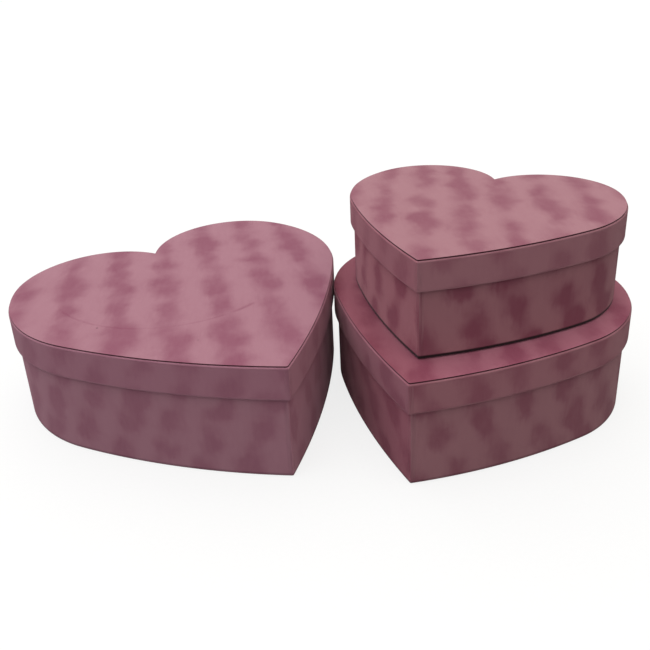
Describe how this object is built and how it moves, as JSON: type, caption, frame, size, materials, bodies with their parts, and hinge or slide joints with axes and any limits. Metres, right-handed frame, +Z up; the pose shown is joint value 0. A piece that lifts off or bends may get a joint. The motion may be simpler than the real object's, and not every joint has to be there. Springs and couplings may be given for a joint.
{
  "type": "heart box set",
  "caption": "Nesting set of velvet-covered heart-shaped gift boxes with lift-off lids; one stands alone and the smallest is stacked on the middle one.",
  "frame": {"origin": "on the floor, at the middle of the whole set's bounding box", "axes": "+X to the right across the set as pictured, +Y to the back, +Z up"},
  "size_m": [0.5023, 0.3044, 0.1597],
  "materials": {
    "pink_velvet": "short mottled dusty-pink velvet pile on a paper back, matt with a soft sheen",
    "grey_board": "raw recycled greyboard, matt",
    "lining_paper": "pale blush lining paper, matt with a fine laid grain",
    "stay_paper": "brown gummed kraft paper, matt",
    "sole_paper": "dusty-pink uncoated cover paper, matt"
  },
  "bodies": {
    "large_base": {"large_sole": "sole_paper", "large_floor_board": "grey_board", "large_wall_board": "grey_board", "large_wall_stay": "stay_paper", "large_wall_velvet": "pink_velvet", "large_wall_lining": "lining_paper", "large_floor_lining": "lining_paper"},
    "large_lid": {"large_top_board": "grey_board", "large_rim_board": "grey_board", "large_rim_stay": "stay_paper", "large_rim_velvet": "pink_velvet", "large_rim_lining": "lining_paper", "large_top_lining": "lining_paper", "large_top_panel": "pink_velvet"},
    "medium_base": {"medium_sole": "sole_paper", "medium_floor_board": "grey_board", "medium_wall_board": "grey_board", "medium_wall_stay": "stay_paper", "medium_wall_velvet": "pink_velvet", "medium_wall_lining": "lining_paper", "medium_floor_lining": "lining_paper"},
    "medium_lid": {"medium_top_board": "grey_board", "medium_rim_board": "grey_board", "medium_rim_stay": "stay_paper", "medium_rim_velvet": "pink_velvet", "medium_rim_lining": "lining_paper", "medium_top_lining": "lining_paper", "medium_top_panel": "pink_velvet"},
    "small_base": {"small_sole": "sole_paper", "small_floor_board": "grey_board", "small_wall_board": "grey_board", "small_wall_stay": "stay_paper", "small_wall_velvet": "pink_velvet", "small_wall_lining": "lining_paper", "small_floor_lining": "lining_paper"},
    "small_lid": {"small_top_board": "grey_board", "small_rim_board": "grey_board", "small_rim_stay": "stay_paper", "small_rim_velvet": "pink_velvet", "small_rim_lining": "lining_paper", "small_top_lining": "lining_paper", "small_top_panel": "pink_velvet"}
  },
  "joints": [
    {"name": "large_lid_lift", "type": "slide", "parent": "large_base", "child": "large_lid", "axis": [0, 0, 1], "range_m": [0, 0.12]},
    {"name": "medium_set_aside", "type": "slide", "parent": "large_base", "child": "medium_base", "axis": [1, 0, 0], "range_m": [0, 0.15]},
    {"name": "medium_lid_lift", "type": "slide", "parent": "medium_base", "child": "medium_lid", "axis": [0, 0, 1], "range_m": [0, 0.12]},
    {"name": "small_box_lift", "type": "slide", "parent": "medium_lid", "child": "small_base", "axis": [0, 0, 1], "range_m": [0, 0.1]},
    {"name": "small_lid_lift", "type": "slide", "parent": "small_base", "child": "small_lid", "axis": [0, 0, 1], "range_m": [0, 0.1]}
  ]
}
